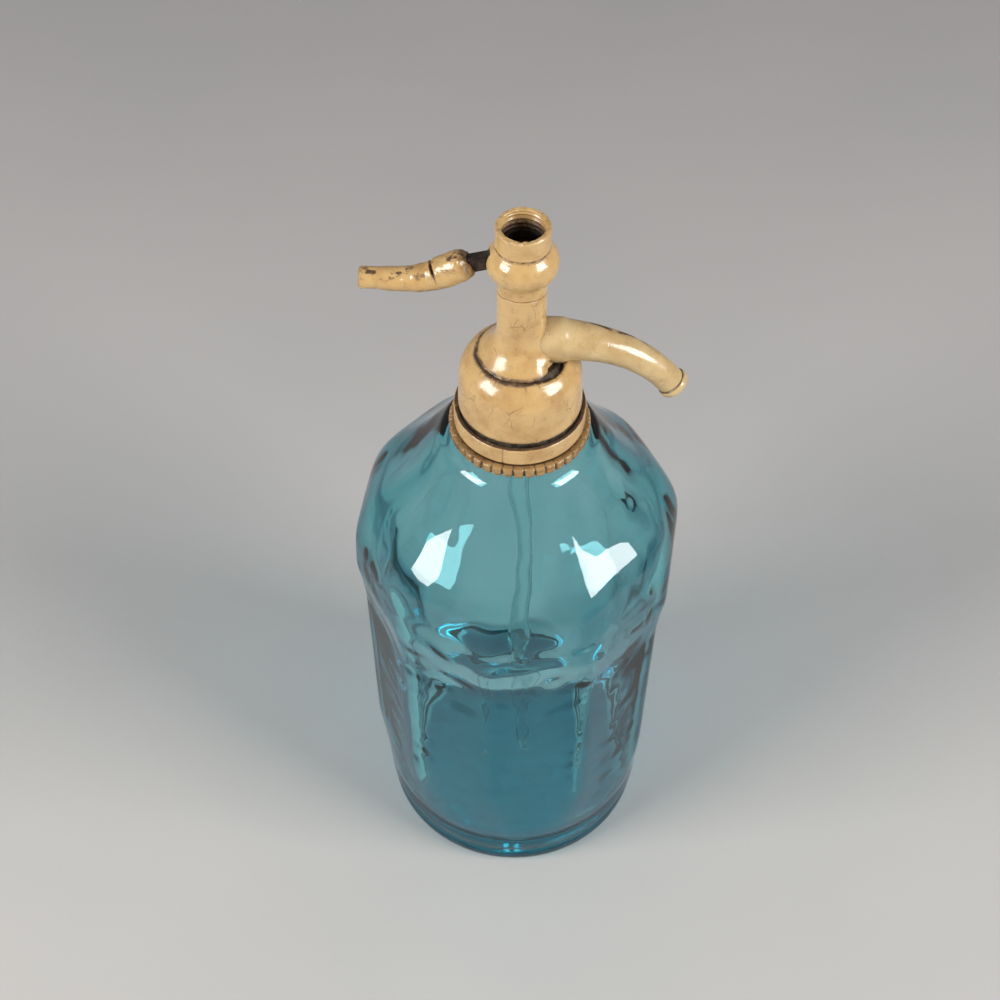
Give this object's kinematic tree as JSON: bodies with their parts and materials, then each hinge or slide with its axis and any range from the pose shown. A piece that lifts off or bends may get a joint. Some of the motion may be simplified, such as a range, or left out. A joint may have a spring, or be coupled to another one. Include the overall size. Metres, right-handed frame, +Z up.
{
  "type": "soda siphon",
  "caption": "Faceted glass soda siphon bottle with a moulded lever head, curved spout and open threaded top.",
  "frame": {"origin": "centre of the foot, on the surface that the siphon stands on", "axes": "+Z up along the bottle, +X towards the spout, -X towards the lever"},
  "size_m": [0.1168, 0.1174, 0.3038],
  "materials": {
    "bottle_glass": "clear turquoise moulded glass",
    "tube_glass": "clear drawn glass",
    "cream_resin": "aged glossy moulded resin with fine crazing",
    "collar_resin": "worn brown moulded resin",
    "cast_metal": "dull grey tarnished casting alloy",
    "brass": "dark tarnished brass",
    "spring_steel": "oxidised steel",
    "rubber": "aged black rubber"
  },
  "bodies": {
    "root": {"glass_bottle": "bottle_glass", "dip_tube": "tube_glass", "tube_ferrule": "brass", "tube_washer": "rubber", "neck_gasket": "rubber", "collar_half_front": "collar_resin", "collar_half_back": "collar_resin", "head_core": "cast_metal", "valve_seat": "brass", "collar_band": "cream_resin", "bell_shell": "cream_resin", "neck_cover": "cream_resin", "lever_housing": "cream_resin", "mouth_ring": "cream_resin", "spout_pipe": "cast_metal", "spout_cover": "cream_resin", "spout_nozzle": "cream_resin", "spring_retainer": "brass", "lever_pin": "spring_steel"},
    "lever": {"lever_core": "spring_steel", "lever_grip": "cream_resin"},
    "plunger": {"plunger": "brass", "valve_rubber": "rubber", "valve_screw": "brass", "piston_seal": "rubber", "spring": "spring_steel", "lift_stirrup": "brass"}
  },
  "joints": [
    {"name": "lever_hinge", "type": "hinge", "parent": "root", "child": "lever", "pos_m": [-0.008, 0, 0.29012], "axis": [0, -1, 0], "range_deg": [0, 17.5], "stiffness_Nm_per_rad": 0.2, "springref_deg": -20.05},
    {"name": "plunger_slide", "type": "slide", "parent": "root", "child": "plunger", "axis": [0, 0, 1], "range_m": [0, 0.0026], "deforming": ["spring"]}
  ],
  "couplings": [
    {"joint": "plunger_slide", "follows": "lever_hinge", "m_per_rad": 0.008}
  ]
}
